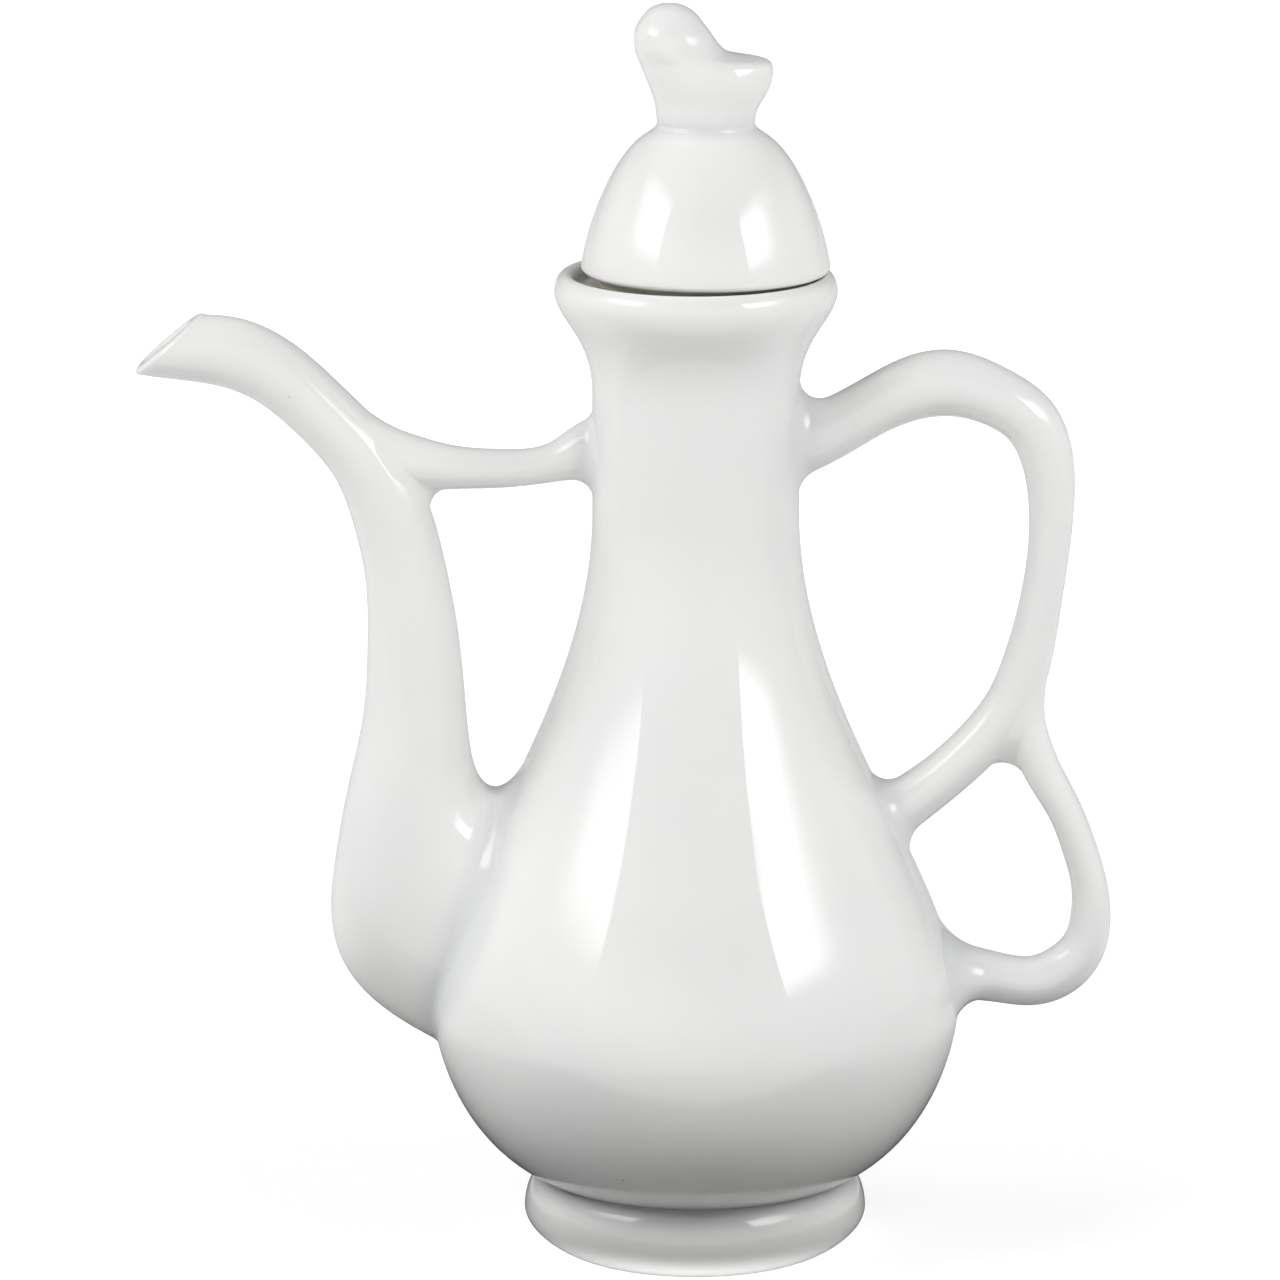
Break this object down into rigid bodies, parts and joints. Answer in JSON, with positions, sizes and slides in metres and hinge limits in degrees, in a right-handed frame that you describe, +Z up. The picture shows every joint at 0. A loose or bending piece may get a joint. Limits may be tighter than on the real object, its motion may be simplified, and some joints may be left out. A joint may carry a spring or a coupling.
{
  "type": "wine jug",
  "caption": "Glazed porcelain wine jug with a pear-shaped body on a turned foot, a braced S-shaped spout, a looped handle and a loose domed lid with a moulded knob.",
  "frame": {"origin": "middle of the box round the whole jug, on the plane that the foot ring stands on", "axes": "+Z up along the body's axis, +X from the spout towards the handle, +Y across the plane that holds the spout and the handle"},
  "size_m": [0.185, 0.1, 0.2402],
  "materials": {
    "glaze": "clear gloss over white porcelain"
  },
  "bodies": {
    "jug": {"jug_body": "glaze", "foot_ring": "glaze", "spout": "glaze", "spout_strut": "glaze", "handle_bow": "glaze", "handle_finger_loop": "glaze"},
    "lid": {"lid_dome": "glaze", "lid_collar": "glaze", "lid_finial": "glaze"}
  },
  "joints": [
    {"name": "lid_lift", "type": "slide", "parent": "jug", "child": "lid", "axis": [0, 0, 1], "range_m": [0, 0.06]}
  ]
}
